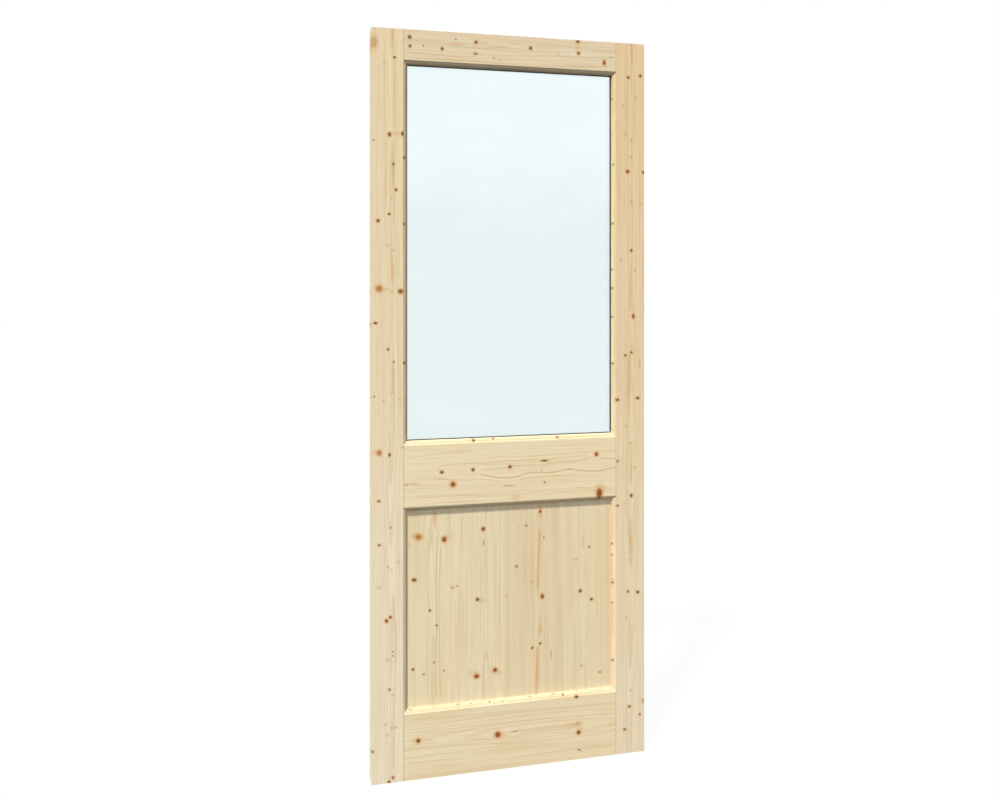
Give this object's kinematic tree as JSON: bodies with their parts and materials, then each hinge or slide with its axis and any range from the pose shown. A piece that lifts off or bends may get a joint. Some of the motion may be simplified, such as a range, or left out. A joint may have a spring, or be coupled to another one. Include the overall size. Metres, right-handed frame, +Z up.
{
  "type": "glazed external door leaf",
  "caption": "Pine external door leaf with a large glazed upper opening, a flat lower panel and a moulding round both.",
  "frame": {"origin": "middle of the bottom edge, halfway through the leaf's thickness", "axes": "+Z up the leaf; +Y through it from the outside face, which is at -Y, to the inside face with the glazing beads; +X across it, to the right as seen from outside"},
  "size_m": [0.762, 0.044, 1.981],
  "materials": {
    "pine": "matte",
    "beech": "matte",
    "steel": "satin",
    "glass": "polished",
    "aluminium": "satin",
    "edge_sealant": "matte",
    "glazing_sealant": "matte",
    "block_plastic": "matte",
    "drying_fill": "matte"
  },
  "bodies": {
    "root": {"left_stile": "pine", "right_stile": "pine", "top_rail": "pine", "middle_rail": "pine", "bottom_rail": "pine", "lower_panel": "pine", "left_glazing_bead": "pine", "right_glazing_bead": "pine", "top_glazing_bead": "pine", "bottom_glazing_bead": "pine", "left_top_dowels": "beech", "left_middle_dowels": "beech", "left_bottom_dowels": "beech", "right_top_dowels": "beech", "right_middle_dowels": "beech", "right_bottom_dowels": "beech", "left_bead_pins": "steel", "right_bead_pins": "steel", "top_bead_pins": "steel", "bottom_bead_pins": "steel", "outer_pane": "glass", "inner_pane": "glass", "spacer_bar": "aluminium", "edge_seal": "edge_sealant", "front_glazing_seal": "glazing_sealant", "rear_glazing_seal": "glazing_sealant", "setting_blocks": "block_plastic", "top_location_blocks": "block_plastic", "left_location_blocks": "block_plastic", "right_location_blocks": "block_plastic", "spacer_key": "block_plastic", "spacer_drying_fill": "drying_fill"}
  },
  "joints": []
}
